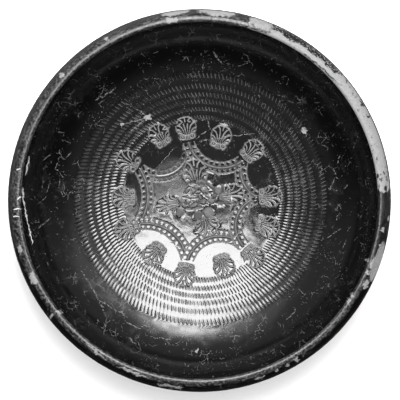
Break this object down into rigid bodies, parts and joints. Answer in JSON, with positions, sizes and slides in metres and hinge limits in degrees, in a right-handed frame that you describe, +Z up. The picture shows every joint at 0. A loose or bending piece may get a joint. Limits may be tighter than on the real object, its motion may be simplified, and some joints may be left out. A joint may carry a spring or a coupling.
{
  "type": "black-glazed bowl",
  "caption": "Wheel-thrown bowl on a ring foot, with an incurved rounded lip and a floor stamped with linked palmettes inside bands of rouletting.",
  "frame": {"origin": "centre of the foot's resting plane, on the bowl's turning axis", "axes": "+Z up along the turning axis; +X to the right and +Y to the top of the bowl as seen from above in the reference picture"},
  "size_m": [0.24, 0.24, 0.076],
  "materials": {
    "black_glaze": "glossy black slip over light fired clay, worn through at the lip"
  },
  "bodies": {
    "root": {"bowl": "black_glaze"}
  },
  "joints": []
}
